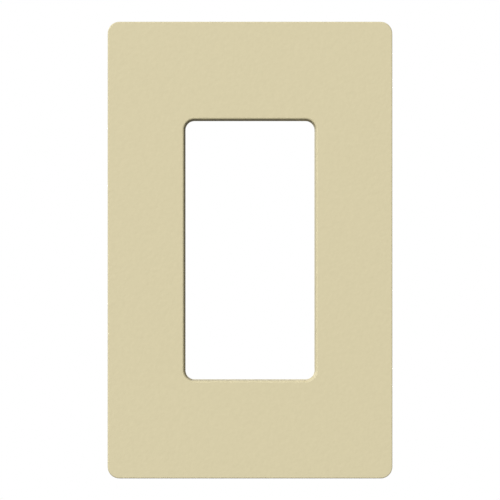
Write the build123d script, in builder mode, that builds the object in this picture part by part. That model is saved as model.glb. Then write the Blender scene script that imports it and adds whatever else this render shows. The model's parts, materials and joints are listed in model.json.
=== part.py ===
from build123d import *
import os

# One-gang screwless wallplate for a rectangular-face wiring device.
# All sizes are millimetres.
# X runs to the right and Z runs up the wall.
# The wall is the plane Y = 0 and the room is on the -Y side.
# A "height" is a distance out from the wall, so height 2 lies at Y = -2.

# Standard dimensions that the plate must meet
DEVICE_SCREW_SPACING = 96.84  # 3 13/16 in, between the two plate screws
STRAP_SCREW_SPACING = 83.34  # 3 9/32 in, between the device's own box screws
SCREW_MAJOR_R = 1.75  # No. 6-32 thread
SCREW_LENGTH = 11.1  # 7/16 in under the head

# Front cover
COVER_W = 74.4
COVER_H = 119.2
COVER_DEPTH = 7.6
COVER_CORNER_R = 3.2
COVER_DRAFT = 0.15  # how much narrower each side is at the front
COVER_EDGE_R = 0.3
SKIN_INNER = 5.6  # height of the inside of the face skin
CAVITY_W = 71.0
CAVITY_H = 115.8
CAVITY_R = 1.6
FUSE = 0.3  # how far an added feature runs into the wall it grows from

# Device window through the cover, and the collar around it
WINDOW_W = 33.66
WINDOW_H = 67.4
WINDOW_R = 2.35
WINDOW_FRONT_W = 34.4
WINDOW_FRONT_H = 68.14
WINDOW_FRONT_R = 2.7
WINDOW_EDGE_R = 0.5
COLLAR_W = 36.3
COLLAR_H = 70.0
COLLAR_R = 3.6
COLLAR_REAR = 2.2

# Ribs on the back of the cover's face
RIB_THICK = 0.8
RIB_HEIGHT = 4.8
LONG_RIB_X = 26.5
LONG_RIB_HALF = 46.0
SIDE_RIB_Z = (-22.0, 0.0, 22.0)
CROSS_RIB_Z = 39.5
END_RIB_X = 9.0

# Locating ribs inside the cover's skirt
LOCATOR_PROUD = 0.45
LOCATOR_WIDTH = 1.6
LOCATOR_REAR = 1.0
LOCATOR_SIDE_Z = 30.0
LOCATOR_END_X = 12.0

# Raised ejector pads on the back of the cover's face
PAD_R = 2.1
PAD_RAISED = 0.1
PAD_SPOTS = ((31.0, 53.0), (31.0, 11.0), (22.0, 43.5), (5.0, 55.0))

# Prying notch in the bottom of the skirt
PRY_WIDTH = 8.0
PRY_HEIGHT = 1.4
PRY_OVERRUN = 1.0  # how far the cut runs out past the skirt

# Toothed prongs that hang from the cover, one near each corner
PRONG_X = 24.5
PRONG_WIDTH = 7.0
PRONG_INNER_Z = 50.0
PRONG_TIP = 0.4
PRONG_LEAD_LENGTH = 0.5  # slanted corner at the tip, on the inner side
PRONG_LEAD_DEPTH = 0.4
TOOTH_LEAD_DEPTH = 0.15  # slanted corner at the tip, on the toothed side
TOOTH_VALLEY_Z = 51.45
TOOTH_CREST_Z = 51.95
TOOTH_PITCH = 1.0
TOOTH_FIRST_CREST = 0.7
TOOTH_COUNT = 4
GUSSET_THICK = 1.0
GUSSET_DEPTH = 0.9
GUSSET_REAR = 3.5
GUSSET_OFFSET = 2.3

# Adapter plate that is screwed to the device
PLATE_W = 69.4
PLATE_H = 114.2
PLATE_R = 2.4
PLATE_REAR = 1.3
PLATE_FRONT = 3.1
RIM_WALL = 1.2
RIM_REAR = 0.4
RIM_FRONT = 4.5
FRAME_W = 37.4
FRAME_H = 71.2
FRAME_R = 4.0
FRAME_RIM = 1.0
FRAME_RIM_FRONT = 4.2
STRAP_SLOT_W = 9.0
STRAP_SLOT_H = 7.0
STRAP_SLOT_R = 1.5
SCREW_HOLE_R = 2.0
WASHER_RECESS_R = 2.7
WASHER_RECESS_DEPTH = 0.6

# Ribs and lightening windows in the adapter's side rails
RAIL_RIB_X = (20.6, 31.8)
RAIL_RIB_THICK = 1.0
RAIL_RIB_HALF = 46.5
RAIL_RIB_FRONT = 4.0
CROSS_RAIL_Z = 47.0
CROSS_RAIL_FROM_X = 8.0
LIGHT_X = 26.2
LIGHT_W = 8.5
LIGHT_H = 11.0
LIGHT_R = 1.0
LIGHT_Z = (-38.4, -24.0, -8.0, 8.0, 24.0, 38.4)

# Latch pawls: flexing strips at the adapter's corners, and their openings
PAWL_ROOT_X = 17.2
PAWL_Z = 52.65
PAWL_END_X = 30.4
PAWL_THICK = 1.2
BEAD_R = 1.0
SOCKET_R = 1.06
RIDGE_FROM_X = 22.0
RIDGE_TO_X = 27.0
RIDGE_CREST_Z = 51.6
RIDGE_CENTRE = 2.2
RIDGE_HALF = 0.45
APERTURE_FROM_X = 18.0
APERTURE_TO_X = 31.2
APERTURE_FROM_Z = 51.4
APERTURE_TO_Z = 54.4
PRONG_GATE_FROM_X = 20.3
PRONG_GATE_TO_X = 28.7
PRONG_GATE_FROM_Z = 49.5

# Plate screws and their retaining washers
HEAD_R = 3.45
HEAD_RIM = 1.0
HEAD_DOME = 1.9
NECK_R = 1.5
NECK_REAR = 1.2
TIP_CHAMFER = 0.45
RECESS_DEPTH = 1.1
SLOT_WIDTH = 1.0
SLOT_LENGTH = 5.6
CROSS_WIDTH = 0.9
CROSS_LENGTH = 3.6
WASHER_R = 2.6
WASHER_BORE_R = 1.52
WASHER_THICK = 0.5
WASHER_REAR = 1.35

SIGNS = (-1, 1)
SCREW_Z = DEVICE_SCREW_SPACING / 2
STRAP_Z = STRAP_SCREW_SPACING / 2


def at_height(height):
    """Plane parallel to the wall, facing the room, at a height out from it."""
    return Plane.XZ.offset(height)


def box_profile(x_low, x_high, z_low, z_high):
    """Rectangle given by its edges, for a sketch parallel to the wall."""
    centre = ((x_low + x_high) / 2, (z_low + z_high) / 2)
    with Locations(centre):
        Rectangle(x_high - x_low, z_high - z_low)


def side_outline(points):
    """Closed outline for a sketch across the X axis, from (height, z) pairs."""
    Polygon(*[(-height, z) for height, z in points], align=None)


def prong_points(level):
    """Side outline of one toothed prong; level is 1 at the top, -1 at the bottom."""
    base = SKIN_INNER + FUSE
    points = [
        (base, PRONG_INNER_Z),
        (PRONG_TIP + PRONG_LEAD_LENGTH, PRONG_INNER_Z),
        (PRONG_TIP, PRONG_INNER_Z + PRONG_LEAD_DEPTH),
        (PRONG_TIP, TOOTH_VALLEY_Z - TOOTH_LEAD_DEPTH),
    ]
    for tooth in range(TOOTH_COUNT):
        crest = TOOTH_FIRST_CREST + tooth * TOOTH_PITCH
        points.append((crest, TOOTH_CREST_Z))
        points.append((crest + TOOTH_PITCH / 2, TOOTH_VALLEY_Z))
    points.append((base, TOOTH_VALLEY_Z))
    return [(height, level * z) for height, z in points]


def gusset_points(level):
    """Triangle that stiffens a prong's root on the side away from its teeth."""
    base = SKIN_INNER + FUSE
    inside = PRONG_INNER_Z + FUSE
    points = [
        (base, PRONG_INNER_Z - GUSSET_DEPTH),
        (SKIN_INNER, PRONG_INNER_Z - GUSSET_DEPTH),
        (GUSSET_REAR, PRONG_INNER_Z),
        (GUSSET_REAR, inside),
        (base, inside),
    ]
    return [(height, level * z) for height, z in points]


# Front cover
with BuildPart() as front_cover:
    # Outer block, slightly narrower towards the room
    with BuildSketch(at_height(0)):
        RectangleRounded(COVER_W, COVER_H, COVER_CORNER_R)
    with BuildSketch(at_height(COVER_DEPTH)):
        RectangleRounded(
            COVER_W - 2 * COVER_DRAFT,
            COVER_H - 2 * COVER_DRAFT,
            COVER_CORNER_R,
        )
    loft(ruled=True)
    face_edges = front_cover.faces().sort_by(Axis.Y)[0].outer_wire().edges()
    fillet(face_edges, COVER_EDGE_R)

    # Hollow back
    with BuildSketch(at_height(0)):
        RectangleRounded(CAVITY_W, CAVITY_H, CAVITY_R)
    extrude(amount=SKIN_INNER, mode=Mode.SUBTRACT)

    # Collar around the window
    with BuildSketch(at_height(COLLAR_REAR)):
        RectangleRounded(COLLAR_W, COLLAR_H, COLLAR_R)
    extrude(amount=SKIN_INNER + FUSE - COLLAR_REAR)

    # Stiffening ribs
    with BuildSketch(at_height(RIB_HEIGHT)):
        for side in SIGNS:
            box_profile(
                side * LONG_RIB_X - RIB_THICK / 2,
                side * LONG_RIB_X + RIB_THICK / 2,
                -LONG_RIB_HALF,
                LONG_RIB_HALF,
            )
            inner = side * (COLLAR_W / 2 - FUSE)
            outer = side * (CAVITY_W / 2 + FUSE)
            for rib_z in SIDE_RIB_Z:
                box_profile(
                    min(inner, outer),
                    max(inner, outer),
                    rib_z - RIB_THICK / 2,
                    rib_z + RIB_THICK / 2,
                )
        for level in SIGNS:
            box_profile(
                -CAVITY_W / 2 - FUSE,
                CAVITY_W / 2 + FUSE,
                level * CROSS_RIB_Z - RIB_THICK / 2,
                level * CROSS_RIB_Z + RIB_THICK / 2,
            )
            near = level * CROSS_RIB_Z
            far = level * (CAVITY_H / 2 + FUSE)
            for side in SIGNS:
                box_profile(
                    side * END_RIB_X - RIB_THICK / 2,
                    side * END_RIB_X + RIB_THICK / 2,
                    min(near, far),
                    max(near, far),
                )
    extrude(amount=SKIN_INNER + FUSE - RIB_HEIGHT)

    # Locating ribs on the inside of the skirt
    with BuildSketch(at_height(LOCATOR_REAR)):
        for side in SIGNS:
            for level in SIGNS:
                inner = side * (CAVITY_W / 2 - LOCATOR_PROUD)
                outer = side * (CAVITY_W / 2 + FUSE)
                box_profile(
                    min(inner, outer),
                    max(inner, outer),
                    level * LOCATOR_SIDE_Z - LOCATOR_WIDTH / 2,
                    level * LOCATOR_SIDE_Z + LOCATOR_WIDTH / 2,
                )
                near = level * (CAVITY_H / 2 - LOCATOR_PROUD)
                far = level * (CAVITY_H / 2 + FUSE)
                box_profile(
                    side * LOCATOR_END_X - LOCATOR_WIDTH / 2,
                    side * LOCATOR_END_X + LOCATOR_WIDTH / 2,
                    min(near, far),
                    max(near, far),
                )
    extrude(amount=SKIN_INNER + FUSE - LOCATOR_REAR)

    # Raised ejector pads
    with BuildSketch(at_height(SKIN_INNER - PAD_RAISED)):
        for side in SIGNS:
            for level in SIGNS:
                spots = [(side * x, level * z) for x, z in PAD_SPOTS]
                with Locations(*spots):
                    Circle(PAD_R)
    extrude(amount=PAD_RAISED + FUSE)

    # Toothed prongs and their gussets
    for side in SIGNS:
        for level in SIGNS:
            with BuildSketch(Plane.YZ.offset(side * PRONG_X - PRONG_WIDTH / 2)):
                side_outline(prong_points(level))
            extrude(amount=PRONG_WIDTH)
            for shift in (-GUSSET_OFFSET, GUSSET_OFFSET):
                start = side * PRONG_X + shift - GUSSET_THICK / 2
                with BuildSketch(Plane.YZ.offset(start)):
                    side_outline(gusset_points(level))
                extrude(amount=GUSSET_THICK)

    # Device window, wider at the front
    with BuildSketch(at_height(COLLAR_REAR)):
        RectangleRounded(WINDOW_W, WINDOW_H, WINDOW_R)
    with BuildSketch(at_height(COVER_DEPTH)):
        RectangleRounded(WINDOW_FRONT_W, WINDOW_FRONT_H, WINDOW_FRONT_R)
    loft(ruled=True, mode=Mode.SUBTRACT)
    front_face = front_cover.faces().sort_by(Axis.Y)[0]
    fillet(front_face.inner_wires()[0].edges(), WINDOW_EDGE_R)

    # Prying notch through the bottom of the skirt
    with BuildSketch(at_height(0)):
        box_profile(
            -PRY_WIDTH / 2,
            PRY_WIDTH / 2,
            -COVER_H / 2 - PRY_OVERRUN,
            -CAVITY_H / 2 + FUSE,
        )
    extrude(amount=PRY_HEIGHT, mode=Mode.SUBTRACT)


# Adapter plate
with BuildPart() as adapter_plate:
    # Flat plate
    with BuildSketch(at_height(PLATE_REAR)):
        RectangleRounded(PLATE_W, PLATE_H, PLATE_R)
    extrude(amount=PLATE_FRONT - PLATE_REAR)

    # Wall around the edge
    with BuildSketch(at_height(RIM_REAR)):
        RectangleRounded(PLATE_W, PLATE_H, PLATE_R)
        RectangleRounded(
            PLATE_W - 2 * RIM_WALL,
            PLATE_H - 2 * RIM_WALL,
            PLATE_R - RIM_WALL,
            mode=Mode.SUBTRACT,
        )
    extrude(amount=RIM_FRONT - RIM_REAR)

    # Rim around the window
    with BuildSketch(at_height(PLATE_REAR)):
        RectangleRounded(
            FRAME_W + 2 * FRAME_RIM,
            FRAME_H + 2 * FRAME_RIM,
            FRAME_R + FRAME_RIM,
        )
    extrude(amount=FRAME_RIM_FRONT - PLATE_REAR)

    # Ribs along the rails and across both ends
    with BuildSketch(at_height(PLATE_REAR)):
        for side in SIGNS:
            for rib_x in RAIL_RIB_X:
                box_profile(
                    side * rib_x - RAIL_RIB_THICK / 2,
                    side * rib_x + RAIL_RIB_THICK / 2,
                    -RAIL_RIB_HALF,
                    RAIL_RIB_HALF,
                )
            for level in SIGNS:
                inner = side * CROSS_RAIL_FROM_X
                outer = side * (PLATE_W / 2 - RIM_WALL + FUSE)
                box_profile(
                    min(inner, outer),
                    max(inner, outer),
                    level * CROSS_RAIL_Z - RAIL_RIB_THICK / 2,
                    level * CROSS_RAIL_Z + RAIL_RIB_THICK / 2,
                )
    extrude(amount=RAIL_RIB_FRONT - PLATE_REAR)

    # Window, strap-screw slots and screw holes
    with BuildSketch(at_height(RIM_REAR)):
        RectangleRounded(FRAME_W, FRAME_H, FRAME_R)
        with Locations((0, -STRAP_Z), (0, STRAP_Z)):
            RectangleRounded(STRAP_SLOT_W, STRAP_SLOT_H, STRAP_SLOT_R)
        with Locations((0, -SCREW_Z), (0, SCREW_Z)):
            Circle(SCREW_HOLE_R)
    extrude(amount=RIM_FRONT - RIM_REAR, mode=Mode.SUBTRACT)

    # Recess behind each screw hole for its retaining washer
    with BuildSketch(at_height(PLATE_REAR)):
        with Locations((0, -SCREW_Z), (0, SCREW_Z)):
            Circle(WASHER_RECESS_R)
    extrude(amount=WASHER_RECESS_DEPTH, mode=Mode.SUBTRACT)

    # Lightening windows in the side rails
    with BuildSketch(at_height(RIM_REAR)):
        spots = [(side * LIGHT_X, z) for side in SIGNS for z in LIGHT_Z]
        with Locations(*spots):
            RectangleRounded(LIGHT_W, LIGHT_H, LIGHT_R)
    extrude(amount=RIM_FRONT - RIM_REAR, mode=Mode.SUBTRACT)

    # Opening around each latch pawl, with the gate its prong passes through
    with BuildSketch(at_height(RIM_REAR)):
        for side in SIGNS:
            for level in SIGNS:
                x_ends = sorted((side * APERTURE_FROM_X, side * APERTURE_TO_X))
                z_ends = sorted((level * APERTURE_FROM_Z, level * APERTURE_TO_Z))
                box_profile(*x_ends, *z_ends)
                x_ends = sorted((side * PRONG_GATE_FROM_X, side * PRONG_GATE_TO_X))
                z_ends = sorted((level * PRONG_GATE_FROM_Z, level * PAWL_Z))
                box_profile(*x_ends, *z_ends)
                with Locations((side * PAWL_ROOT_X, level * PAWL_Z)):
                    Circle(SOCKET_R)
    extrude(amount=PLATE_FRONT - RIM_REAR, mode=Mode.SUBTRACT)


def latch_pawl(side, level):
    """Flexing strip at one corner; side is 1 at the right, level is 1 at the top."""
    with BuildPart() as pawl:
        x_ends = sorted((side * PAWL_ROOT_X, side * PAWL_END_X))
        inner = level * (PAWL_Z - PAWL_THICK / 2)
        outer = level * (PAWL_Z + PAWL_THICK / 2)
        with BuildSketch(at_height(PLATE_REAR)):
            box_profile(*x_ends, min(inner, outer), max(inner, outer))
            with Locations((side * PAWL_ROOT_X, level * PAWL_Z)):
                Circle(BEAD_R)
        extrude(amount=PLATE_FRONT - PLATE_REAR)
        # Ridge that sits between two teeth of the prong
        ridge_start = min(side * RIDGE_FROM_X, side * RIDGE_TO_X)
        with BuildSketch(Plane.YZ.offset(ridge_start)):
            side_outline(
                [
                    (RIDGE_CENTRE, level * RIDGE_CREST_Z),
                    (RIDGE_CENTRE - RIDGE_HALF, inner),
                    (RIDGE_CENTRE - RIDGE_HALF, inner + level * FUSE),
                    (RIDGE_CENTRE + RIDGE_HALF, inner + level * FUSE),
                    (RIDGE_CENTRE + RIDGE_HALF, inner),
                ]
            )
        extrude(amount=RIDGE_TO_X - RIDGE_FROM_X)
    return pawl.part


def plate_screw(level):
    """Pan-head screw with a thinner neck under its head; level is 1 at the top."""
    end = PLATE_FRONT - SCREW_LENGTH
    head_top = PLATE_FRONT + HEAD_DOME
    head_rim = PLATE_FRONT + HEAD_RIM
    axis_z = level * SCREW_Z
    with BuildPart() as screw:
        with BuildSketch(Plane.XY.offset(axis_z)):
            with BuildLine():
                Polyline(
                    (0, -head_top),
                    (0, -end),
                    (SCREW_MAJOR_R - TIP_CHAMFER, -end),
                    (SCREW_MAJOR_R, -end - TIP_CHAMFER),
                    (SCREW_MAJOR_R, -NECK_REAR),
                    (NECK_R, -NECK_REAR),
                    (NECK_R, -PLATE_FRONT),
                    (HEAD_R, -PLATE_FRONT),
                    (HEAD_R, -head_rim),
                )
                TangentArc((0, -head_top), (HEAD_R, -head_rim), tangent=(1, 0))
            make_face()
        revolve(axis=Axis((0, 0, axis_z), (0, 1, 0)))
        # Slot and cross in the head
        with BuildSketch(at_height(head_top - RECESS_DEPTH)):
            with Locations((0, axis_z)):
                Rectangle(SLOT_LENGTH, SLOT_WIDTH)
                Rectangle(CROSS_WIDTH, CROSS_LENGTH)
        extrude(amount=2 * RECESS_DEPTH, mode=Mode.SUBTRACT)
    return screw.part


def retaining_washer(level):
    """Thin ring that keeps a screw in the adapter; level is 1 at the top."""
    with BuildPart() as washer:
        with BuildSketch(at_height(WASHER_REAR)):
            with Locations((0, level * SCREW_Z)):
                Circle(WASHER_R)
                Circle(WASHER_BORE_R, mode=Mode.SUBTRACT)
        extrude(amount=WASHER_THICK)
    return washer.part


pieces = {
    "front_cover": front_cover.part,
    "adapter_plate": adapter_plate.part,
}
for level, level_name in ((1, "top"), (-1, "bottom")):
    for side, side_name in ((-1, "left"), (1, "right")):
        pieces[f"latch_pawl_{level_name}_{side_name}"] = latch_pawl(side, level)
    pieces[f"adapter_screw_{level_name}"] = plate_screw(level)
    pieces[f"retaining_washer_{level_name}"] = retaining_washer(level)

os.makedirs("parts", exist_ok=True)
for name, piece in pieces.items():
    piece.label = name
    export_step(piece, f"parts/{name}.step")
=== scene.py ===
import json
import math

import bmesh
import bpy
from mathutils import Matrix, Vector


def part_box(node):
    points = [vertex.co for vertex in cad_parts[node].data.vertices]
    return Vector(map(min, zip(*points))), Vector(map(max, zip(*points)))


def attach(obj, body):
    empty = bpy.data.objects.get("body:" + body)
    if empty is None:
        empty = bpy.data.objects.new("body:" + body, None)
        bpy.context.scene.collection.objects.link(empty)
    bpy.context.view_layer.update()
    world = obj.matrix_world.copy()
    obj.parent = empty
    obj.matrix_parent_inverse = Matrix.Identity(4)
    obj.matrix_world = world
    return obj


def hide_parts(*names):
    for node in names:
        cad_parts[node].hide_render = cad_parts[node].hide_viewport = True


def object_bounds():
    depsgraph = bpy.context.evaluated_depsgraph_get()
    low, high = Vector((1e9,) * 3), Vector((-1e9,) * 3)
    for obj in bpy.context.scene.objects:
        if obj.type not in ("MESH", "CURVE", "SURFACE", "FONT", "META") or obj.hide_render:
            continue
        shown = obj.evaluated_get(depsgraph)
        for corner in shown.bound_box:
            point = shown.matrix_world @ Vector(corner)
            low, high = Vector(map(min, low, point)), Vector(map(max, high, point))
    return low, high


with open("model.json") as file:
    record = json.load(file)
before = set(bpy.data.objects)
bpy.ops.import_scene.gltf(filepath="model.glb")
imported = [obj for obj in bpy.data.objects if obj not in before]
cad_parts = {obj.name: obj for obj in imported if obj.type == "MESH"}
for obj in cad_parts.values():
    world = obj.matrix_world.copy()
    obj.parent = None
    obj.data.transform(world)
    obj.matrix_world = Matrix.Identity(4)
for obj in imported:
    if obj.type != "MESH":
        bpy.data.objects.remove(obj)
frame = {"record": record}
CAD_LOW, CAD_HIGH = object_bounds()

# Looks for a one-gang screwless wallplate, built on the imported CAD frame.
# Blender works in metres; shapes below are given in millimetres and scaled by MM.
# A "height" is a distance out from the wall, so it lies at Y = -height.

MM = 0.001
WELD = 0.001 * MM
SIGNS = (-1, 1)
CORNER_STEPS = 14
EDGE_STEPS = 6
SMALL_EDGE_STEPS = 3
BEVEL_SEGMENTS = 2
SOFT_EDGE = 0.12
BAR_BEVEL = 0.1
CUT_BEVEL = 0.02
OVERRUN = 1.0


def cad_box(node):
    """Lowest and highest corners of a CAD node, in millimetres."""
    low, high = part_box(node)
    return low / MM, high / MM


# ---------------------------------------------------------------- mesh helpers


def rounded_rectangle(width, height, radius, centre=(0.0, 0.0), steps=CORNER_STEPS):
    """Corner-rounded rectangle as (x, z) points, anticlockwise from the right."""
    points = []
    corners = ((1, 1, 0), (-1, 1, 90), (-1, -1, 180), (1, -1, 270))
    for side, level, start in corners:
        x = centre[0] + side * (width / 2 - radius)
        z = centre[1] + level * (height / 2 - radius)
        for step in range(steps + 1):
            angle = math.radians(start + 90 * step / steps)
            points.append((x + radius * math.cos(angle), z + radius * math.sin(angle)))
    return points


def circle(radius, centre, steps=48):
    """Full circle as (x, z) points."""
    turns = [2 * math.pi * step / steps for step in range(steps)]
    return [
        (centre[0] + radius * math.cos(a), centre[1] + radius * math.sin(a))
        for a in turns
    ]


def resized(base, growth):
    """Width, height and radius of a rounded rectangle grown on every side."""
    width, height, radius = base
    return (width + 2 * growth, height + 2 * growth, radius + growth)


def rectangle(x_low, x_high, z_low, z_high):
    return [(x_low, z_low), (x_high, z_low), (x_high, z_high), (x_low, z_high)]


def out_from_wall(u, v, w):
    """Maps an outline drawn on the wall, w being the height above it."""
    return Vector((u * MM, -w * MM, v * MM))


def across_width(u, v, w):
    """Maps an outline of (height, z) points, w being the place along X."""
    return Vector((w * MM, -u * MM, v * MM))


def slab(outlines, low, high, bevel, place=out_from_wall):
    """Flat piece between two levels, with holes where outlines nest and rounded edges."""
    curve = bpy.data.curves.new("outline", "CURVE")
    curve.dimensions = "2D"
    curve.fill_mode = "BOTH"
    for outline in outlines:
        spline = curve.splines.new("POLY")
        spline.points.add(len(outline) - 1)
        for point, (u, v) in zip(spline.points, outline):
            point.co = (u, v, 0.0, 1.0)
        spline.use_cyclic_u = True
    curve.extrude = (high - low) / 2 - bevel
    curve.bevel_depth = bevel
    curve.bevel_resolution = BEVEL_SEGMENTS
    curve.offset = -bevel
    holder = bpy.data.objects.new("outline", curve)
    mesh = bpy.data.meshes.new_from_object(holder)
    middle = (low + high) / 2
    for vertex in mesh.vertices:
        u, v, w = vertex.co
        vertex.co = place(u, v, w + middle)
    bpy.data.objects.remove(holder)
    bpy.data.curves.remove(curve)
    return mesh


def weld(mesh, distance=WELD):
    """Closes a mesh's seams and turns its faces outwards."""
    work = bmesh.new()
    work.from_mesh(mesh)
    bmesh.ops.remove_doubles(work, verts=work.verts, dist=distance)
    bmesh.ops.dissolve_degenerate(work, edges=work.edges, dist=distance)
    bmesh.ops.recalc_face_normals(work, faces=work.faces)
    work.to_mesh(mesh)
    work.free()


def gather(meshes, name):
    """One object from several closed meshes."""
    work = bmesh.new()
    for mesh in meshes:
        weld(mesh)
        work.from_mesh(mesh)
        bpy.data.meshes.remove(mesh)
    joined = bpy.data.meshes.new(name)
    work.to_mesh(joined)
    work.free()
    obj = bpy.data.objects.new(name, joined)
    bpy.context.scene.collection.objects.link(obj)
    return obj


def mesh_from(vertices, faces):
    mesh = bpy.data.meshes.new("part")
    mesh.from_pydata(vertices, [], faces)
    return mesh


def bridge_rings(rings, closed=True):
    """Quads through rings of equally many points; closed joins the last to the first."""
    count = len(rings[0])
    vertices = [point for ring in rings for point in ring]
    faces = []
    for index in range(len(rings) if closed else len(rings) - 1):
        near = index * count
        far = ((index + 1) % len(rings)) * count
        for step in range(count):
            following = (step + 1) % count
            faces.append((near + step, near + following, far + following, far + step))
    return mesh_from(vertices, faces)


def lathe(profile, centre_z, steps=64):
    """Solid of revolution about a line along Y, from (radius, height) pairs
    that start and end on the axis."""
    rings = []
    for radius, height in profile:
        ring = []
        for step in range(steps):
            angle = 2 * math.pi * step / steps
            x = radius * math.cos(angle)
            z = centre_z + radius * math.sin(angle)
            ring.append(out_from_wall(x, z, height))
        rings.append(ring)
    return bridge_rings(rings, closed=False)


def combine(obj, meshes, operation, crossing=False):
    """Adds closed meshes to an object (UNION) or takes them away (DIFFERENCE).

    crossing is for meshes that run through each other.
    """
    tool = gather(meshes, "tool")
    step = obj.modifiers.new("combine", "BOOLEAN")
    step.operation = operation
    step.solver = "EXACT"
    step.use_self = crossing
    step.object = tool
    bpy.context.view_layer.update()
    depsgraph = bpy.context.evaluated_depsgraph_get()
    result = bpy.data.meshes.new_from_object(obj.evaluated_get(depsgraph))
    obj.modifiers.clear()
    old, spent = obj.data, tool.data
    obj.data = result
    bpy.data.objects.remove(tool)
    bpy.data.meshes.remove(old)
    bpy.data.meshes.remove(spent)
    weld(obj.data)


def finish_piece(obj, material, body, node, smooth_below=40.0):
    """Shading, material and the CAD body, node and slot that a piece stands for."""
    mesh = obj.data
    mesh.name = obj.name
    mesh.shade_smooth()
    mesh.set_sharp_from_angle(angle=math.radians(smooth_below))
    weights = obj.modifiers.new("face weights", "WEIGHTED_NORMAL")
    weights.mode = "FACE_AREA"
    weights.weight = 100
    weights.keep_sharp = True
    mesh.materials.clear()
    mesh.materials.append(material)
    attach(obj, body)
    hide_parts(node)
    return obj


# ------------------------------------------------------------------- materials

# Where nearly all of a noise texture's values lie
NOISE_RANGE = (0.3, 0.7)
# The face's grain fades in as a surface turns towards the room, by its normal's Y
GRAIN_FROM = -0.90
GRAIN_FULL = -0.99


def new_material(name):
    material = bpy.data.materials.new(name)
    material.use_nodes = True
    tree = material.node_tree
    shader = tree.nodes["Principled BSDF"]
    place = tree.nodes.new("ShaderNodeTexCoord")
    return material, tree, shader, place.outputs["Object"]


def noise(tree, place, scale, detail=2.0, roughness=0.5, stretch=None):
    """Noise over the row frame; scale is in features per metre."""
    if stretch is not None:
        mapping = tree.nodes.new("ShaderNodeMapping")
        mapping.inputs["Scale"].default_value = stretch
        tree.links.new(place, mapping.inputs["Vector"])
        place = mapping.outputs["Vector"]
    node = tree.nodes.new("ShaderNodeTexNoise")
    node.inputs["Scale"].default_value = scale
    node.inputs["Detail"].default_value = detail
    node.inputs["Roughness"].default_value = roughness
    tree.links.new(place, node.inputs["Vector"])
    return node.outputs["Fac"]


def ramp(tree, value, low, high):
    """Spreads a noise value between two colours."""
    node = tree.nodes.new("ShaderNodeValToRGB")
    colours = zip(node.color_ramp.elements, NOISE_RANGE, (low, high))
    for element, position, colour in colours:
        element.position = position
        element.color = (*colour, 1.0)
    tree.links.new(value, node.inputs["Fac"])
    return node.outputs["Color"]


def spread(tree, value, low, high):
    """Spreads a noise value between two numbers."""
    node = tree.nodes.new("ShaderNodeMapRange")
    node.inputs["From Min"].default_value = NOISE_RANGE[0]
    node.inputs["From Max"].default_value = NOISE_RANGE[1]
    node.inputs["To Min"].default_value = low
    node.inputs["To Max"].default_value = high
    tree.links.new(value, node.inputs["Value"])
    return node.outputs["Result"]


def bump(tree, shader, value, depth, after=None, strength=None):
    """Raises the surface by a noise value; depth is in metres."""
    node = tree.nodes.new("ShaderNodeBump")
    node.inputs["Strength"].default_value = 1.0
    node.inputs["Distance"].default_value = depth
    tree.links.new(value, node.inputs["Height"])
    if strength is not None:
        tree.links.new(strength, node.inputs["Strength"])
    if after is not None:
        tree.links.new(after, node.inputs["Normal"])
    tree.links.new(node.outputs["Normal"], shader.inputs["Normal"])
    return node.outputs["Normal"]


def textured_face(tree):
    """1 where a surface faces the room squarely, fading to 0 round its edges."""
    coordinates = tree.nodes.new("ShaderNodeTexCoord")
    split = tree.nodes.new("ShaderNodeSeparateXYZ")
    tree.links.new(coordinates.outputs["Normal"], split.inputs["Vector"])
    fade = tree.nodes.new("ShaderNodeMapRange")
    fade.inputs["From Min"].default_value = GRAIN_FROM
    fade.inputs["From Max"].default_value = GRAIN_FULL
    tree.links.new(split.outputs["Y"], fade.inputs["Value"])
    return fade.outputs["Result"]


def shade(colour, factor):
    return tuple(channel * factor for channel in colour)


def moulded_plastic(name, colour, mottle, rough, reliefs):
    """Moulded thermoplastic: faint mottling, patchy sheen and a grained front face.

    mottle is the colour's swing, rough the two ends of the roughness, and reliefs
    the (size, depth) of each layer of the grain in millimetres, coarse to fine.
    """
    material, tree, shader, place = new_material(name)
    clouds = noise(tree, place, 1 / (1.3 * MM), detail=3.0, roughness=0.7)
    low, high = shade(colour, 1 - mottle), shade(colour, 1 + mottle)
    tree.links.new(ramp(tree, clouds, low, high), shader.inputs["Base Color"])
    patches = noise(tree, place, 1 / (3 * MM), detail=3.0)
    tree.links.new(spread(tree, patches, *rough), shader.inputs["Roughness"])
    mask = textured_face(tree)
    surface = None
    for size, depth in reliefs:
        grain = noise(tree, place, 1 / (size * MM), detail=2.0, roughness=0.6)
        surface = bump(tree, shader, grain, depth * MM, after=surface, strength=mask)
    shader.inputs["IOR"].default_value = 1.5
    shader.inputs["Specular IOR Level"].default_value = 0.45
    return material


def slot_colour(name):
    """The base colour the record gives a material slot."""
    for entry in frame["record"]["materials"]:
        if entry["slot"] == name:
            return tuple(entry["base_color"][:3])
    raise ValueError(name)


def cover_plastic():
    colour = slot_colour("cover_plastic")
    grain = ((14.0, 0.015), (0.8, 0.034), (0.3, 0.012))
    return moulded_plastic("ivory_grained_plastic", colour, 0.018, (0.49, 0.55), grain)


def adapter_plastic():
    colour = slot_colour("adapter_plastic")
    grain = ((14.0, 0.03), (0.8, 0.004))
    return moulded_plastic("ivory_plain_plastic", colour, 0.03, (0.41, 0.46), grain)


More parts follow.
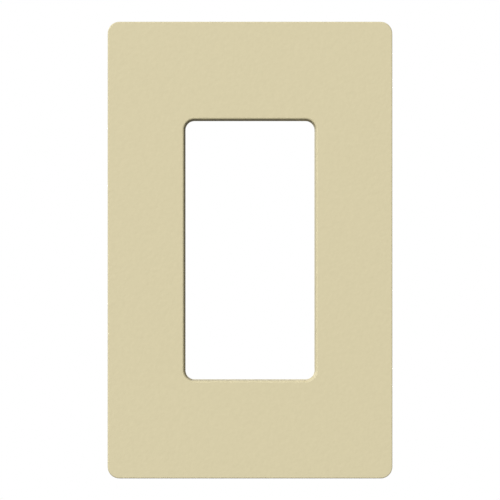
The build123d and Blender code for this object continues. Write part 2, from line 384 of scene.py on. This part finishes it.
def zinc_plate():
    """Bright zinc plating: a cloudy, faintly coloured metal with fine turning marks."""
    material, tree, shader, place = new_material("zinc_plated_steel")
    base = slot_colour("screw_steel")
    clouds = noise(tree, place, 1 / (1.2 * MM), detail=4.0)
    warm = (base[0] * 1.04, base[1] * 1.0, base[2] * 0.88)
    cool = (base[0] * 0.9, base[1] * 0.95, base[2] * 1.04)
    tree.links.new(ramp(tree, clouds, warm, cool), shader.inputs["Base Color"])
    tree.links.new(spread(tree, clouds, 0.24, 0.42), shader.inputs["Roughness"])
    marks = noise(tree, place, 1 / (0.12 * MM), detail=2.0, stretch=(0.15, 1.0, 0.15))
    bump(tree, shader, marks, 0.004 * MM)
    shader.inputs["Metallic"].default_value = 1.0
    return material


def fibre():
    """Red-brown vulcanised fibre with fine matted strands."""
    material, tree, shader, place = new_material("vulcanised_fibre")
    base = slot_colour("washer_fibre")
    strands = noise(tree, place, 1 / (0.25 * MM), detail=5.0, stretch=(1.0, 1.0, 0.3))
    low, high = shade(base, 0.7), shade(base, 1.45)
    tree.links.new(ramp(tree, strands, low, high), shader.inputs["Base Color"])
    tree.links.new(spread(tree, strands, 0.55, 0.75), shader.inputs["Roughness"])
    bump(tree, shader, strands, 0.02 * MM)
    return material


def floor_finish():
    """Pale matte studio sweep with a barely visible tooth."""
    material, tree, shader, place = new_material("pale_studio_floor")
    clouds = noise(tree, place, 3.0, detail=3.0)
    pale, paler = (0.80, 0.80, 0.79), (0.83, 0.83, 0.82)
    tree.links.new(ramp(tree, clouds, pale, paler), shader.inputs["Base Color"])
    tooth = noise(tree, place, 900.0, detail=2.0)
    bump(tree, shader, tooth, 0.0001)
    shader.inputs["Roughness"].default_value = 0.9
    return material


# ----------------------------------------------------------------- front cover

COVER_LOW, COVER_HIGH = cad_box("front_cover")
COVER_W = COVER_HIGH.x - COVER_LOW.x
COVER_H = COVER_HIGH.z - COVER_LOW.z
COVER_DEPTH = -COVER_LOW.y
COVER_CORNER_R = 3.2
COVER_DRAFT = 0.15
COVER_EDGE_R = 0.3
SKIN_INNER = 5.6
CAVITY = (71.0, 115.8, 1.6)
WINDOW = (33.66, 67.4, 2.35)
WINDOW_DRAFT = 0.37
WINDOW_EDGE_R = 0.5
COLLAR = (36.3, 70.0, 3.6)
COLLAR_REAR = 2.2
INNER_FILLET = 0.35
FUSE = 0.3

RIB_THICK = 0.8
RIB_HEIGHT = 4.8
LONG_RIB_X = 26.5
LONG_RIB_HALF = 46.0
SIDE_RIB_Z = (-22.0, 0.0, 22.0)
CROSS_RIB_Z = 39.5
END_RIB_X = 9.0

LOCATOR_PROUD = 0.45
LOCATOR_WIDTH = 1.6
LOCATOR_REAR = 1.0
LOCATOR_SIDE_Z = 30.0
LOCATOR_END_X = 12.0

PAD_R = 2.1
PAD_RAISED = 0.1
PAD_BEVEL = 0.04
PAD_SPOTS = ((31.0, 53.0), (31.0, 11.0), (22.0, 43.5), (5.0, 55.0))

PRY_WIDTH = 8.0
PRY_HEIGHT = 1.4

PRONG_X = 24.5
PRONG_WIDTH = 7.0
PRONG_INNER_Z = 50.0
PRONG_TIP = 0.4
PRONG_LEAD_LENGTH = 0.5
PRONG_LEAD_DEPTH = 0.4
TOOTH_LEAD_DEPTH = 0.15
TOOTH_VALLEY_Z = 51.45
TOOTH_CREST_Z = 51.95
TOOTH_PITCH = 1.0
TOOTH_FIRST_CREST = 0.7
TOOTH_COUNT = 4
GUSSET_THICK = 1.0
GUSSET_DEPTH = 0.9
GUSSET_REAR = 3.5
GUSSET_OFFSET = 2.3
PRONG_BEVEL = 0.06


def grown(base, growth, height):
    """Ring at a height, along a rounded rectangle grown on every side."""
    outline = rounded_rectangle(*resized(base, growth))
    return [out_from_wall(x, z, height) for x, z in outline]


def quarter(steps=EDGE_STEPS):
    """Angles through a quarter turn, in radians."""
    return [math.radians(90 * step / steps) for step in range(steps + 1)]


def cover_shell():
    """The cover's skirt, face, window and collar as one closed wall."""
    outer = (COVER_W, COVER_H, COVER_CORNER_R)
    rings = []
    # Rear rim's outer edge, then up the drafted outside
    for angle in quarter(SMALL_EDGE_STEPS):
        inset = SOFT_EDGE * (1 - math.sin(angle))
        rings.append(grown(outer, -inset, SOFT_EDGE * (1 - math.cos(angle))))
    # Front outer edge
    edge_start = COVER_DEPTH - COVER_EDGE_R
    draft = COVER_DRAFT * edge_start / COVER_DEPTH
    for angle in quarter():
        inset = draft + COVER_EDGE_R * (1 - math.cos(angle))
        rings.append(grown(outer, -inset, edge_start + COVER_EDGE_R * math.sin(angle)))
    # Front window edge, from the face down into the window
    window_slope = WINDOW_DRAFT / (COVER_DEPTH - COLLAR_REAR)
    edge_start = COVER_DEPTH - WINDOW_EDGE_R
    reach = window_slope * (edge_start - COLLAR_REAR)
    for angle in reversed(quarter()):
        growth = reach + WINDOW_EDGE_R * (1 - math.cos(angle))
        rings.append(grown(WINDOW, growth, edge_start + WINDOW_EDGE_R * math.sin(angle)))
    # Collar's rear, inner and outer edges
    for angle in quarter(SMALL_EDGE_STEPS):
        growth = SOFT_EDGE * (1 - math.cos(angle))
        rings.append(grown(WINDOW, growth, COLLAR_REAR + SOFT_EDGE * (1 - math.sin(angle))))
    for angle in quarter(SMALL_EDGE_STEPS):
        inset = SOFT_EDGE * (1 - math.sin(angle))
        height = COLLAR_REAR + SOFT_EDGE * (1 - math.cos(angle))
        rings.append(grown(COLLAR, -inset, height))
    # Inside of the face, with small fillets at the collar and at the skirt
    for angle in quarter(SMALL_EDGE_STEPS):
        growth = INNER_FILLET * (1 - math.cos(angle))
        height = SKIN_INNER - INNER_FILLET * (1 - math.sin(angle))
        rings.append(grown(COLLAR, growth, height))
    for angle in quarter(SMALL_EDGE_STEPS):
        inset = INNER_FILLET * (1 - math.sin(angle))
        height = SKIN_INNER - INNER_FILLET * (1 - math.cos(angle))
        rings.append(grown(CAVITY, -inset, height))
    # Rear rim's inner edge
    for angle in quarter(SMALL_EDGE_STEPS):
        growth = SOFT_EDGE * (1 - math.cos(angle))
        rings.append(grown(CAVITY, growth, SOFT_EDGE * (1 - math.sin(angle))))
    return bridge_rings(rings)


def strip(x_ends, z_ends, low, high, bevel=BAR_BEVEL):
    """Straight bar between two x and two z values, in any order."""
    outline = rectangle(min(x_ends), max(x_ends), min(z_ends), max(z_ends))
    return slab([outline], low, high, bevel)


def around(middle, width):
    """The two ends of a width centred on a place."""
    return (middle - width / 2, middle + width / 2)


def cover_ribs():
    """Stiffening ribs on the back of the face."""
    top = SKIN_INNER + FUSE
    collar_x = COLLAR[0] / 2 - FUSE
    skirt_x = CAVITY[0] / 2 + FUSE
    skirt_z = CAVITY[1] / 2 + FUSE
    long_ends = (-LONG_RIB_HALF, LONG_RIB_HALF)
    bars = []
    for side in SIGNS:
        x_ends = around(side * LONG_RIB_X, RIB_THICK)
        bars.append(strip(x_ends, long_ends, RIB_HEIGHT, top))
        for z in SIDE_RIB_Z:
            x_ends = (side * collar_x, side * skirt_x)
            bars.append(strip(x_ends, around(z, RIB_THICK), RIB_HEIGHT, top))
    for level in SIGNS:
        z = level * CROSS_RIB_Z
        bars.append(strip((-skirt_x, skirt_x), around(z, RIB_THICK), RIB_HEIGHT, top))
        for side in SIGNS:
            x_ends = around(side * END_RIB_X, RIB_THICK)
            bars.append(strip(x_ends, (z, level * skirt_z), RIB_HEIGHT, top))
    return bars


def cover_locators():
    """Ribs inside the skirt that centre the cover on its adapter."""
    top = SKIN_INNER + FUSE
    bars = []
    for side in SIGNS:
        for level in SIGNS:
            proud, sunk = CAVITY[0] / 2 - LOCATOR_PROUD, CAVITY[0] / 2 + FUSE
            z_ends = around(level * LOCATOR_SIDE_Z, LOCATOR_WIDTH)
            bars.append(strip((side * proud, side * sunk), z_ends, LOCATOR_REAR, top))
            proud, sunk = CAVITY[1] / 2 - LOCATOR_PROUD, CAVITY[1] / 2 + FUSE
            x_ends = around(side * LOCATOR_END_X, LOCATOR_WIDTH)
            bars.append(strip(x_ends, (level * proud, level * sunk), LOCATOR_REAR, top))
    return bars


def ejector_pads():
    """Round pads that the ejector pins leave on the back of the face."""
    low, high = SKIN_INNER - PAD_RAISED, SKIN_INNER + FUSE
    discs = []
    for x, z in PAD_SPOTS:
        for side in SIGNS:
            for level in SIGNS:
                outline = circle(PAD_R, (side * x, level * z), steps=32)
                discs.append(slab([outline], low, high, PAD_BEVEL))
    return discs


def side_slab(points, level, x_ends, bevel):
    """Piece of one section across X, from (height, z) points; level flips it in Z."""
    outline = [(height, level * z) for height, z in points]
    return slab([outline], *x_ends, bevel, across_width)


def toothed_prong(side, level):
    """Ratchet prong and its two gussets near one corner of the cover."""
    base = SKIN_INNER + FUSE
    section = [
        (base, PRONG_INNER_Z),
        (PRONG_TIP + PRONG_LEAD_LENGTH, PRONG_INNER_Z),
        (PRONG_TIP, PRONG_INNER_Z + PRONG_LEAD_DEPTH),
        (PRONG_TIP, TOOTH_VALLEY_Z - TOOTH_LEAD_DEPTH),
    ]
    for tooth in range(TOOTH_COUNT):
        crest = TOOTH_FIRST_CREST + tooth * TOOTH_PITCH
        section.append((crest, TOOTH_CREST_Z))
        section.append((crest + TOOTH_PITCH / 2, TOOTH_VALLEY_Z))
    section.append((base, TOOTH_VALLEY_Z))
    x = side * PRONG_X
    made = [side_slab(section, level, around(x, PRONG_WIDTH), PRONG_BEVEL)]
    gusset = [
        (base, PRONG_INNER_Z - GUSSET_DEPTH),
        (SKIN_INNER, PRONG_INNER_Z - GUSSET_DEPTH),
        (GUSSET_REAR, PRONG_INNER_Z),
        (GUSSET_REAR, PRONG_INNER_Z + FUSE),
        (base, PRONG_INNER_Z + FUSE),
    ]
    for shift in (-GUSSET_OFFSET, GUSSET_OFFSET):
        x_ends = around(x + shift, GUSSET_THICK)
        made.append(side_slab(gusset, level, x_ends, PRONG_BEVEL))
    return made


def build_cover(material):
    cover = gather([cover_shell()], "front_cover_plate")
    details = cover_ribs() + cover_locators() + ejector_pads()
    for side in SIGNS:
        for level in SIGNS:
            details += toothed_prong(side, level)
    combine(cover, details, "UNION", crossing=True)
    z_ends = (-COVER_H / 2 - OVERRUN, -CAVITY[1] / 2 + FUSE)
    notch = strip(around(0.0, PRY_WIDTH), z_ends, -OVERRUN, PRY_HEIGHT)
    combine(cover, [notch], "DIFFERENCE")
    return finish_piece(cover, material, "cover", "front_cover")


# --------------------------------------------------------------- adapter plate

PLATE_LOW, PLATE_HIGH = cad_box("adapter_plate")
PLATE_W = PLATE_HIGH.x - PLATE_LOW.x
PLATE_H = PLATE_HIGH.z - PLATE_LOW.z
PLATE_REAR = 1.3
PLATE_FRONT = 3.1
PLATE_R = 2.4
PLATE_INSET = 0.6
RIM_REAR = -PLATE_HIGH.y
RIM_FRONT = -PLATE_LOW.y
RIM_WALL = 1.2
RIM_BEVEL = 0.15
FRAME = (37.4, 71.2, 4.0)
FRAME_RIM = 1.0
FRAME_RIM_FRONT = 4.2
FRAME_STEP = 0.04
SCREW_Z = 96.84 / 2
SCREW_HOLE_R = 2.0
WASHER_RECESS_R = 2.7
WASHER_RECESS_DEPTH = 0.6
WASHER_RECESS_FROM = 0.5
STRAP_Z = 83.34 / 2
STRAP_SLOT = (9.0, 7.0, 1.5)
RAIL_RIB_X = (20.6, 31.8)
RAIL_RIB_THICK = 1.0
RAIL_RIB_HALF = 46.5
RAIL_RIB_FRONT = 4.0
RAIL_RIB_ROOT = 0.8
CROSS_RAIL_Z = 47.0
CROSS_RAIL_FROM_X = 8.0
LIGHT = (8.5, 11.0, 1.0)
LIGHT_X = 26.2
LIGHT_Z = (-38.4, -24.0, -8.0, 8.0, 24.0, 38.4)

PAWL_ROOT_X = 17.2
PAWL_Z = 52.65
PAWL_END_X = 30.4
PAWL_THICK = 1.2
PAWL_BEVEL = 0.08
PAWL_TIP_R = 0.3
PAWL_TIP_STEPS = 4
BEAD_R = 1.0
SOCKET_R = 1.06
RIDGE_FROM_X = 22.0
RIDGE_TO_X = 27.0
RIDGE_CREST_Z = 51.6
RIDGE_CENTRE = 2.2
RIDGE_HALF = 0.45
RIDGE_BEVEL = 0.04
APERTURE_FROM_X = 18.0
APERTURE_TO_X = 31.2
APERTURE_FROM_Z = 51.4
APERTURE_TO_Z = 54.4
PRONG_GATE_FROM_X = 20.3
PRONG_GATE_TO_X = 28.7
PRONG_GATE_FROM_Z = 49.5


def pivot_arc(radius, opening, steps=20):
    """Arc round the pawl's root that leaves an opening towards its strip."""
    points = []
    for step in range(steps + 1):
        angle = opening + (2 * math.pi - 2 * opening) * step / steps
        x = PAWL_ROOT_X + radius * math.cos(angle)
        points.append((x, PAWL_Z + radius * math.sin(angle)))
    return points


def pawl_aperture(side, level):
    """Opening that a pawl moves in, with its socket and the prong's gate."""
    opening = math.acos((APERTURE_FROM_X - PAWL_ROOT_X) / SOCKET_R)
    outline = [
        (APERTURE_FROM_X, APERTURE_FROM_Z),
        (PRONG_GATE_FROM_X, APERTURE_FROM_Z),
        (PRONG_GATE_FROM_X, PRONG_GATE_FROM_Z),
        (PRONG_GATE_TO_X, PRONG_GATE_FROM_Z),
        (PRONG_GATE_TO_X, APERTURE_FROM_Z),
        (APERTURE_TO_X, APERTURE_FROM_Z),
        (APERTURE_TO_X, APERTURE_TO_Z),
        (APERTURE_FROM_X, APERTURE_TO_Z),
    ]
    outline += pivot_arc(SOCKET_R, opening)
    return [(side * x, level * z) for x, z in outline]


def rounded_ring(outer, inner, low, high, bevel):
    """Wall between two rounded rectangles."""
    outlines = [rounded_rectangle(*outer), rounded_rectangle(*inner)]
    return slab(outlines, low, high, bevel)


def adapter_face(plate):
    """The flat plate with every opening through it."""
    holes = [rounded_rectangle(*FRAME)]
    for level in SIGNS:
        holes.append(rounded_rectangle(*STRAP_SLOT, (0.0, level * STRAP_Z), steps=8))
        holes.append(circle(SCREW_HOLE_R, (0.0, level * SCREW_Z)))
    for side in SIGNS:
        for z in LIGHT_Z:
            holes.append(rounded_rectangle(*LIGHT, (side * LIGHT_X, z), steps=6))
        for level in SIGNS:
            holes.append(pawl_aperture(side, level))
    outline = rounded_rectangle(*resized(plate, -PLATE_INSET))
    return slab([outline] + holes, PLATE_REAR, PLATE_FRONT, BAR_BEVEL)


def adapter_ribs():
    """Ribs along the rails and across both ends."""
    low = PLATE_REAR + RAIL_RIB_ROOT
    long_ends = (-RAIL_RIB_HALF, RAIL_RIB_HALF)
    rim_x = PLATE_W / 2 - RIM_WALL + FUSE
    bars = []
    for side in SIGNS:
        for x in RAIL_RIB_X:
            x_ends = around(side * x, RAIL_RIB_THICK)
            bars.append(strip(x_ends, long_ends, low, RAIL_RIB_FRONT))
        for level in SIGNS:
            x_ends = (side * CROSS_RAIL_FROM_X, side * rim_x)
            z_ends = around(level * CROSS_RAIL_Z, RAIL_RIB_THICK)
            bars.append(strip(x_ends, z_ends, low, RAIL_RIB_FRONT))
    return bars


def build_adapter(material):
    plate = (PLATE_W, PLATE_H, PLATE_R)
    adapter = gather([adapter_face(plate)], "adapter_frame")
    recess_top = PLATE_REAR + WASHER_RECESS_DEPTH
    recesses = []
    for level in SIGNS:
        outline = circle(WASHER_RECESS_R, (0.0, level * SCREW_Z))
        recesses.append(slab([outline], WASHER_RECESS_FROM, recess_top, CUT_BEVEL))
    combine(adapter, recesses, "DIFFERENCE")
    inside = resized(plate, -RIM_WALL)
    edge_wall = rounded_ring(plate, inside, RIM_REAR, RIM_FRONT, RIM_BEVEL)
    # The window rim's inner face stands a little back from the plate's own
    rim_outer, rim_inner = resized(FRAME, FRAME_RIM), resized(FRAME, FRAME_STEP)
    rim_root = PLATE_REAR + FUSE
    window_rim = rounded_ring(rim_outer, rim_inner, rim_root, FRAME_RIM_FRONT, SOFT_EDGE)
    details = [edge_wall, window_rim] + adapter_ribs()
    combine(adapter, details, "UNION", crossing=True)
    return finish_piece(adapter, material, "adapter", "adapter_plate")


def pawl_outline():
    """A pawl's strip with its rounded tip and its root bead."""
    half = PAWL_THICK / 2
    x = PAWL_END_X - PAWL_TIP_R
    outline = []
    for level, start in ((-1, -90), (1, 0)):
        z = PAWL_Z + level * (half - PAWL_TIP_R)
        for step in range(PAWL_TIP_STEPS + 1):
            angle = math.radians(start + 90 * step / PAWL_TIP_STEPS)
            reach, rise = PAWL_TIP_R * math.cos(angle), PAWL_TIP_R * math.sin(angle)
            outline.append((x + reach, z + rise))
    return outline + pivot_arc(BEAD_R, math.asin(half / BEAD_R))


def corner_name(side, level):
    return ("bottom" if level < 0 else "top") + "_" + ("left" if side < 0 else "right")


def build_pawl(side, level, material):
    """Flexing latch strip with its root bead and the ridge that meets the teeth."""
    corner = corner_name(side, level)
    outline = [(side * x, level * z) for x, z in pawl_outline()]
    strip_mesh = slab([outline], PLATE_REAR, PLATE_FRONT, PAWL_BEVEL)
    pawl = gather([strip_mesh], "latch_strip_" + corner)
    inner = PAWL_Z - PAWL_THICK / 2
    ridge = [
        (RIDGE_CENTRE, RIDGE_CREST_Z),
        (RIDGE_CENTRE - RIDGE_HALF, inner),
        (RIDGE_CENTRE - RIDGE_HALF, inner + FUSE),
        (RIDGE_CENTRE + RIDGE_HALF, inner + FUSE),
        (RIDGE_CENTRE + RIDGE_HALF, inner),
    ]
    x_ends = sorted((side * RIDGE_FROM_X, side * RIDGE_TO_X))
    combine(pawl, [side_slab(ridge, level, x_ends, RIDGE_BEVEL)], "UNION")
    node = "latch_pawl_" + corner
    return finish_piece(pawl, material, "pawl_" + corner, node)


# ----------------------------------------------------------- screws and washers

THREAD_PITCH = 25.4 / 32
THREAD_MAJOR_R = 1.75
THREAD_MINOR_R = 1.33
THREAD_START = 1.2
THREAD_RUNOUT = 0.6
THREAD_ROWS = 16
CREST_FLAT = 0.125
ROOT_FLAT = 0.25
TIP_CHAMFER = 0.5
NECK_R = 1.5
NECK_CORNER = 0.15
NECK_OVERLAP = 0.25
HEAD_R = 3.45
HEAD_RIM = 1.0
DOME_INSET = 0.25
DOME_STEPS = 9
HEAD_EDGE = (0.08, 0.18)
RECESS_DEPTH = 1.1
SLOT = (5.6, 1.0)
CROSS = (0.9, 3.6)
WASHER_BORE_R = 1.52
WASHER_BEVEL = 0.06


def thread_radius(phase):
    """Radius of a 60 degree thread with a flat crest and root; phase is 0 to 1."""
    from_crest = abs(phase - 0.5)
    flank = 0.5 - CREST_FLAT / 2 - ROOT_FLAT / 2
    share = min(max((from_crest - CREST_FLAT / 2) / flank, 0.0), 1.0)
    return THREAD_MAJOR_R + (THREAD_MINOR_R - THREAD_MAJOR_R) * share


def shank_radius(phase, along, length):
    """Radius of the threaded shank at a distance below the neck."""
    tip_r = THREAD_MAJOR_R - TIP_CHAMFER
    if along <= 0.0:
        return NECK_R
    if along >= length:
        return tip_r
    fade = min(along / THREAD_RUNOUT, 1.0)
    radius = NECK_R + (thread_radius(phase) - NECK_R) * fade
    return min(radius, tip_r + length - along)


def threaded_shank(axis_z, start, end, steps=48):
    """Rings of a right-hand thread from start down to end, both heights."""
    length = start - end
    rings = []
    for row in range(int((length / THREAD_PITCH + 2) * THREAD_ROWS) + 1):
        turns = row / THREAD_ROWS
        ring = []
        for step in range(steps):
            turn = step / steps
            along = min(max(THREAD_PITCH * (turns - 1 + turn), 0.0), length)
            radius = shank_radius(turns % 1.0, along, length)
            angle = 2 * math.pi * turn
            x = radius * math.cos(angle)
            z = axis_z - radius * math.sin(angle)
            ring.append(out_from_wall(x, z, start - along))
        rings.append(ring)
    return rings


def helix_solid(rings):
    """Closed mesh through rings that advance along a helix, one turn in THREAD_ROWS."""
    count = len(rings[0])
    vertices = [point for ring in rings for point in ring]
    faces = []
    for index in range(len(rings) - 1):
        for step in range(count - 1):
            near = index * count + step
            faces.append((near, near + 1, near + count + 1, near + count))
        # The last column joins the first one a full turn further along the helix
        ahead = index + THREAD_ROWS
        if ahead + 1 < len(rings):
            near = index * count + count - 1
            far = ahead * count
            faces.append((near, far, far + count, near + count))
    mesh = mesh_from(vertices, faces)
    work = bmesh.new()
    work.from_mesh(mesh)
    bmesh.ops.remove_doubles(work, verts=work.verts, dist=WELD / 2)
    bmesh.ops.dissolve_degenerate(work, edges=work.edges, dist=WELD / 2)
    open_edges = [edge for edge in work.edges if edge.is_boundary]
    bmesh.ops.holes_fill(work, edges=open_edges, sides=0)
    work.to_mesh(mesh)
    work.free()
    return mesh


def head_profile(head_top):
    """Domed pan head and plain neck, as (radius, height) pairs from the axis out."""
    seat = PLATE_FRONT
    rim_height = seat + HEAD_RIM
    sagitta = head_top - rim_height
    dome_r = (HEAD_R**2 + sagitta**2) / (2 * sagitta)
    profile = [(0.0, head_top)]
    for step in range(1, DOME_STEPS + 1):
        radius = (HEAD_R - DOME_INSET) * step / DOME_STEPS
        drop = dome_r - math.sqrt(dome_r**2 - radius**2)
        profile.append((radius, head_top - drop))
    edge_inset, edge_drop = HEAD_EDGE
    profile += [(HEAD_R - edge_inset, rim_height), (HEAD_R, rim_height - edge_drop)]
    profile += [(HEAD_R, seat + SOFT_EDGE), (HEAD_R - SOFT_EDGE, seat)]
    profile += [(NECK_R + NECK_CORNER, seat), (NECK_R, seat - NECK_CORNER)]
    neck_end = THREAD_START - NECK_OVERLAP
    profile += [(NECK_R, neck_end), (0.0, neck_end)]
    return profile


def build_screw(level, material):
    """Pan head screw with a combination recess, a plain neck and a real thread."""
    name = "top" if level > 0 else "bottom"
    node = "adapter_screw_" + name
    low, high = cad_box(node)
    axis_z = (low.z + high.z) / 2
    head_top, tip = -low.y, -high.y
    screw = gather([lathe(head_profile(head_top), axis_z)], "plate_screw_" + name)
    floor, top = head_top - RECESS_DEPTH, head_top + OVERRUN
    cuts = [
        strip(around(0.0, width), around(axis_z, height), floor, top, CUT_BEVEL)
        for width, height in (SLOT, CROSS)
    ]
    combine(screw, cuts, "DIFFERENCE", crossing=True)
    shank = helix_solid(threaded_shank(axis_z, THREAD_START, tip))
    combine(screw, [shank], "UNION")
    body = "screw_" + name
    return finish_piece(screw, material, body, node, smooth_below=35.0)


def build_washer(level, material):
    """Thin punched ring with softened edges."""
    name = "top" if level > 0 else "bottom"
    node = "retaining_washer_" + name
    low, high = cad_box(node)
    axis_z = (low.z + high.z) / 2
    outer = (high.x - low.x) / 2
    rear, front = -high.y, -low.y
    centre = (0.0, axis_z)
    outlines = [circle(outer, centre, steps=64), circle(WASHER_BORE_R, centre)]
    washer = gather([slab(outlines, rear, front, WASHER_BEVEL)], "fibre_washer_" + name)
    return finish_piece(washer, material, "screw_" + name, node)


# ------------------------------------------------------ camera, light and floor

# In metres: the camera's place, the width it sees at the wall, and the floor
VIEW_DISTANCE = 2.0
VIEW_BELOW = 0.020
VIEW_WIDTH = 0.13065
SENSOR_MM = 36.0
CLIP_NEAR = 0.1
CLIP_FAR = 20.0
FLOOR_DROP = 0.35
FLOOR_R = 3.0

# Name, direction from the plate, distance, width, height (metres) and power (watts)
SOFTBOXES = (
    ("key_softbox", (-0.38, -0.84, 0.38), 14.0, 7.4, 7.4, 2140.0),
    ("rear_left_softbox", (-0.74, 0.62, 0.28), 3.0, 1.0, 1.0, 40.0),
    ("rear_top_softbox", (0.0, 0.62, 0.78), 3.0, 1.5, 1.5, 27.0),
    ("side_strip", (1.0, 0.035, -0.08), 2.0, 0.12, 0.5, 12.0),
    ("rear_softbox", (0.0, 1.0, 0.0), 8.0, 1.0, 1.0, 110.0),
)
FILL_STRENGTH = 0.13


def add_camera():
    data = bpy.data.cameras.new("camera")
    data.sensor_width = SENSOR_MM
    data.lens = SENSOR_MM * VIEW_DISTANCE / VIEW_WIDTH
    data.clip_start = CLIP_NEAR
    data.clip_end = CLIP_FAR
    camera = bpy.data.objects.new("camera", data)
    camera.location = (0.0, -VIEW_DISTANCE, -VIEW_BELOW)
    tilt = math.atan(VIEW_BELOW / (VIEW_DISTANCE + CAD_LOW.y))
    camera.rotation_euler = (math.radians(90) + tilt, 0.0, 0.0)
    bpy.context.scene.collection.objects.link(camera)
    bpy.context.scene.camera = camera


def add_softbox(name, direction, distance, width, height, power):
    """Soft light aimed at the plate from a direction, invisible to the camera."""
    data = bpy.data.lights.new(name, "AREA")
    data.shape = "RECTANGLE"
    data.size = width
    data.size_y = height
    data.energy = power
    lamp = bpy.data.objects.new(name, data)
    away = Vector(direction).normalized()
    lamp.location = away * distance
    lamp.rotation_mode = "QUATERNION"
    lamp.rotation_quaternion = away.to_track_quat("Z", "Y")
    lamp.visible_camera = False
    bpy.context.scene.collection.objects.link(lamp)


def add_world():
    """White to the camera, and a dim even fill as light."""
    world = bpy.data.worlds.new("studio")
    world.use_nodes = True
    tree = world.node_tree
    tree.nodes.clear()
    output = tree.nodes.new("ShaderNodeOutputWorld")
    mix = tree.nodes.new("ShaderNodeMixShader")
    path = tree.nodes.new("ShaderNodeLightPath")
    tree.links.new(path.outputs["Is Camera Ray"], mix.inputs["Fac"])
    for socket, strength in ((1, FILL_STRENGTH), (2, 1.0)):
        white = tree.nodes.new("ShaderNodeBackground")
        white.inputs["Color"].default_value = (1.0, 1.0, 1.0, 1.0)
        white.inputs["Strength"].default_value = strength
        tree.links.new(white.outputs["Background"], mix.inputs[socket])
    tree.links.new(mix.outputs["Shader"], output.inputs["Surface"])
    bpy.context.scene.world = world


def add_floor(material):
    """Round pale floor, well below the plate."""
    work = bmesh.new()
    bmesh.ops.create_circle(work, cap_ends=True, radius=FLOOR_R, segments=96)
    mesh = bpy.data.meshes.new("studio_floor")
    work.to_mesh(mesh)
    work.free()
    floor = bpy.data.objects.new("studio_floor", mesh)
    floor.location = (0.0, 0.0, -FLOOR_DROP)
    mesh.materials.append(material)
    bpy.context.scene.collection.objects.link(floor)
    floor.visible_diffuse = False
    floor.visible_glossy = False


def set_colour_management():
    settings = bpy.context.scene.view_settings
    settings.view_transform = "Standard"
    settings.look = "None"
    settings.exposure = 0.0
    settings.gamma = 1.0


# ------------------------------------------------------------------- the scene

add_camera()
set_colour_management()
add_world()
for softbox in SOFTBOXES:
    add_softbox(*softbox)
add_floor(floor_finish())

ivory = cover_plastic()
plain = adapter_plastic()
zinc = zinc_plate()
washer_stock = fibre()

build_cover(ivory)
build_adapter(plain)
for level in SIGNS:
    for side in SIGNS:
        build_pawl(side, level, plain)
    build_screw(level, zinc)
    build_washer(level, washer_stock)
